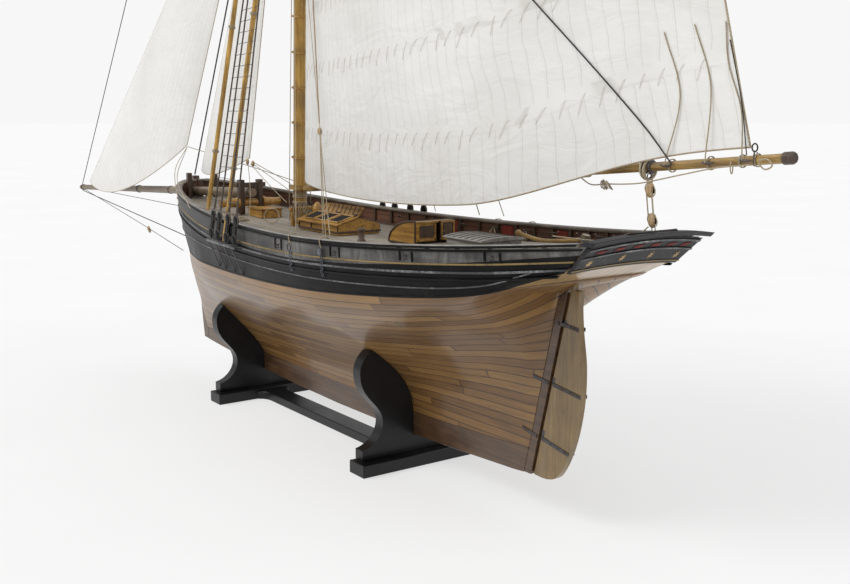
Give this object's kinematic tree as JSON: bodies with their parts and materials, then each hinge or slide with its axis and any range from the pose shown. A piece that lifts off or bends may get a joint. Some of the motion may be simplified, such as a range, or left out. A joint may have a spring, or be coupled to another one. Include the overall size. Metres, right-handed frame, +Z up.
{
  "type": "model sailing ship",
  "caption": "Model single-masted cutter with hull, deck fittings, spars, three sails, rigging, turning rudder and swinging boom, held on a black cradle stand.",
  "frame": {"origin": "centre of the bounding box in plan, on the floor under the stand", "axes": "+X aft, the bow points to -X; +Y to starboard; +Z up"},
  "size_m": [1.3734, 0.2486, 1.179],
  "materials": {
    "black_paint": "black paint, satin",
    "hull_wood": "satin varnish",
    "dark_wood": "satin varnish",
    "rudder_wood": "satin varnish",
    "spar_wood": "varnished",
    "deck_wood": "bare, dusty",
    "rail_wood": "worn paint",
    "hatch_wood": "varnished",
    "stand_black": "satin black paint",
    "iron": "blackened",
    "canvas": "plain weave",
    "tarred_rope": "tarred"
  },
  "bodies": {
    "hull": {"hull_topsides": "black_paint", "bulwark_port": "black_paint", "bulwark_starboard": "black_paint", "channel_port": "black_paint", "channel_starboard": "black_paint", "transom": "black_paint", "hull_bottom": "hull_wood", "sternpost": "hull_wood", "keel": "dark_wood", "stem": "dark_wood", "trestletrees": "dark_wood", "mast_cap": "dark_wood", "bowsprit_bitts": "dark_wood", "knighthead_port": "dark_wood", "knighthead_starboard": "dark_wood", "lower_mast": "spar_wood", "topmast": "spar_wood", "bowsprit": "spar_wood", "deck": "deck_wood", "rail_port": "rail_wood", "rail_starboard": "rail_wood", "taffrail": "rail_wood", "cabin_light": "rail_wood", "fore_hatch": "hatch_wood", "fife_rail": "hatch_wood", "skylight": "hatch_wood", "companion": "hatch_wood", "sheet_block_deck": "hatch_wood", "stand_block_fore": "stand_black", "cradle_fore": "stand_black", "stand_block_aft": "stand_black", "cradle_aft": "stand_black", "stretcher": "stand_black", "staysail": "canvas", "jib": "canvas", "shroud_port_1": "tarred_rope", "shroud_port_2": "tarred_rope", "shroud_port_3": "tarred_rope", "shroud_port_4": "tarred_rope", "shroud_starboard_1": "tarred_rope", "shroud_starboard_2": "tarred_rope", "shroud_starboard_3": "tarred_rope", "shroud_starboard_4": "tarred_rope", "forestay": "tarred_rope", "topmast_stay": "tarred_rope", "bobstay": "tarred_rope"},
    "rudder": {"rudder": "rudder_wood", "tiller": "spar_wood"},
    "boom_rig": {"boom": "spar_wood", "boom_cap": "iron", "gaff": "spar_wood", "mainsail": "canvas", "sheet_block_boom": "hatch_wood"},
    "windlass": {"windlass": "hatch_wood"},
    "fore_hatch_lid": {"fore_hatch_lid": "hatch_wood"},
    "skylight_lid_port": {"skylight_lid_port": "hatch_wood"},
    "skylight_lid_starboard": {"skylight_lid_starboard": "hatch_wood"},
    "companion_door_port": {"companion_door_port": "hatch_wood"},
    "companion_door_starboard": {"companion_door_starboard": "dark_wood"},
    "cabin_light_lid": {"cabin_light_lid": "rail_wood"}
  },
  "joints": [
    {"name": "rudder_turn", "type": "hinge", "parent": "hull", "child": "rudder", "pos_m": [0.46656, 0, 0.1], "axis": [0.237, 0, 0.9715], "range_deg": [-35, 35]},
    {"name": "boom_swing", "type": "hinge", "parent": "hull", "child": "boom_rig", "pos_m": [0.04736, 0, 0.3], "axis": [0.038, 0, 0.9993], "range_deg": [-10, 20]},
    {"name": "windlass_turn", "type": "hinge", "parent": "hull", "child": "windlass", "pos_m": [-0.057, -0.0108, 0.235], "axis": [0, 1, 0], "continuous": true},
    {"name": "fore_hatch_slide", "type": "slide", "parent": "hull", "child": "fore_hatch_lid", "axis": [1, 0, 0], "range_m": [0, 0.024]},
    {"name": "skylight_port_hinge", "type": "hinge", "parent": "hull", "child": "skylight_lid_port", "pos_m": [0.129, -0.0009, 0.235], "axis": [-1, 0, 0], "range_deg": [0, 45]},
    {"name": "skylight_starboard_hinge", "type": "hinge", "parent": "hull", "child": "skylight_lid_starboard", "pos_m": [0.129, 0.0027, 0.2335], "axis": [-1, 0, 0], "range_deg": [0, 74]},
    {"name": "companion_port_hinge", "type": "hinge", "parent": "hull", "child": "companion_door_port", "pos_m": [0.3041, -0.022, 0.2317], "axis": [0, 0, -1], "range_deg": [0, 100]},
    {"name": "companion_starboard_hinge", "type": "hinge", "parent": "hull", "child": "companion_door_starboard", "pos_m": [0.3041, 0.022, 0.2317], "axis": [0, 0, 1], "range_deg": [0, 100]},
    {"name": "cabin_light_hinge", "type": "hinge", "parent": "hull", "child": "cabin_light_lid", "pos_m": [0.3475, 0, 0.2313], "axis": [0, -1, 0], "range_deg": [0, 45]}
  ]
}
